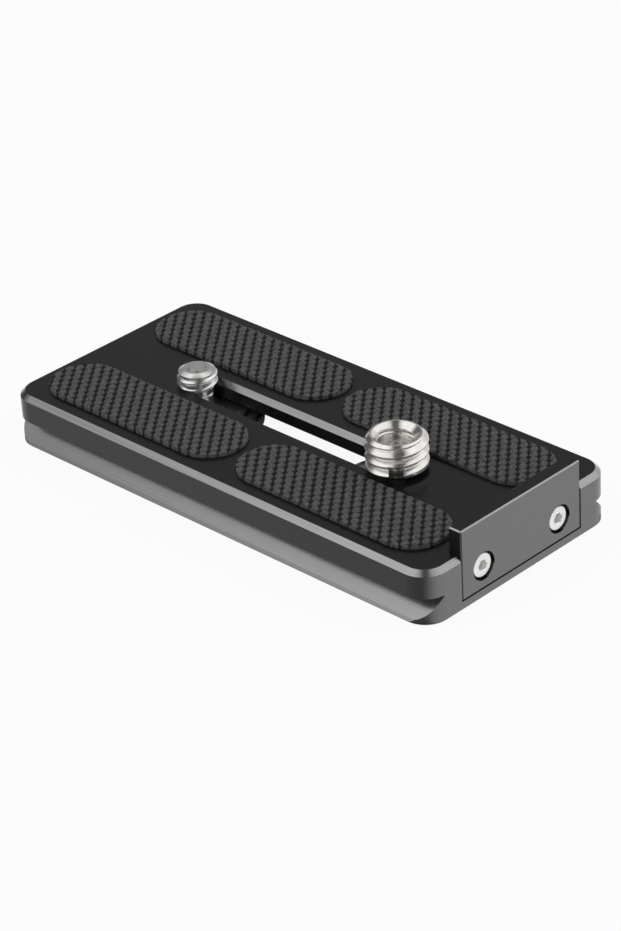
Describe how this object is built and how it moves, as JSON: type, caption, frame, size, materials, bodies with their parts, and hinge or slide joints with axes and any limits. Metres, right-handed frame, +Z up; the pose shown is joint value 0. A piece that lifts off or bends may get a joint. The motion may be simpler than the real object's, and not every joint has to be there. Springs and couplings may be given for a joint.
{
  "type": "tripod quick release plate",
  "caption": "Slotted tripod quick release plate with dovetail sides, captive camera screws, a reducer bush, knurled rubber pads and an end stop block.",
  "frame": {"origin": "centre of the plate's underside", "axes": "+X along the plate towards the stop block, +Y across the plate, +Z up towards the camera"},
  "size_m": [0.0866, 0.0402, 0.0146],
  "materials": {
    "black_anodised": "fine satin black anodising, bright on the machined edge bevels",
    "bright_steel": "turned and nickel plated, semi-bright",
    "pad_rubber": "moulded matt rubber with a fine diamond knurl"
  },
  "bodies": {
    "plate": {"base_plate": "black_anodised", "stop_block": "black_anodised", "near_stop_screw": "bright_steel", "far_stop_screw": "bright_steel", "near_left_pad": "pad_rubber", "near_right_pad": "pad_rubber", "far_left_pad": "pad_rubber", "far_right_pad": "pad_rubber"},
    "left_slider": {"left_slide_washer": "bright_steel"},
    "left_screw": {"left_camera_screw": "bright_steel"},
    "left_ring": {"left_fold_ring": "bright_steel"},
    "right_slider": {"right_slide_washer": "bright_steel"},
    "right_screw": {"right_camera_screw": "bright_steel", "reducer_bush": "bright_steel"},
    "right_ring": {"right_fold_ring": "bright_steel"}
  },
  "joints": [
    {"name": "left_slide", "type": "slide", "parent": "plate", "child": "left_slider", "axis": [1, 0, 0], "range_m": [0, 0.01065]},
    {"name": "left_spin", "type": "hinge", "parent": "left_slider", "child": "left_screw", "pos_m": [-0.0222, 0, 0.00435], "axis": [0, 0, 1], "continuous": true},
    {"name": "left_ring_fold", "type": "hinge", "parent": "left_screw", "child": "left_ring", "pos_m": [-0.0222, 0, 0.00252], "axis": [0, 1, 0], "range_deg": [0, 180]},
    {"name": "right_slide", "type": "slide", "parent": "plate", "child": "right_slider", "axis": [1, 0, 0], "range_m": [-0.01065, 0]},
    {"name": "right_spin", "type": "hinge", "parent": "right_slider", "child": "right_screw", "pos_m": [0.0195, 0, 0.00535], "axis": [0, 0, 1], "continuous": true},
    {"name": "right_ring_fold", "type": "hinge", "parent": "right_screw", "child": "right_ring", "pos_m": [0.0195, 0, 0.00352], "axis": [0, 1, 0], "range_deg": [0, 180]}
  ]
}
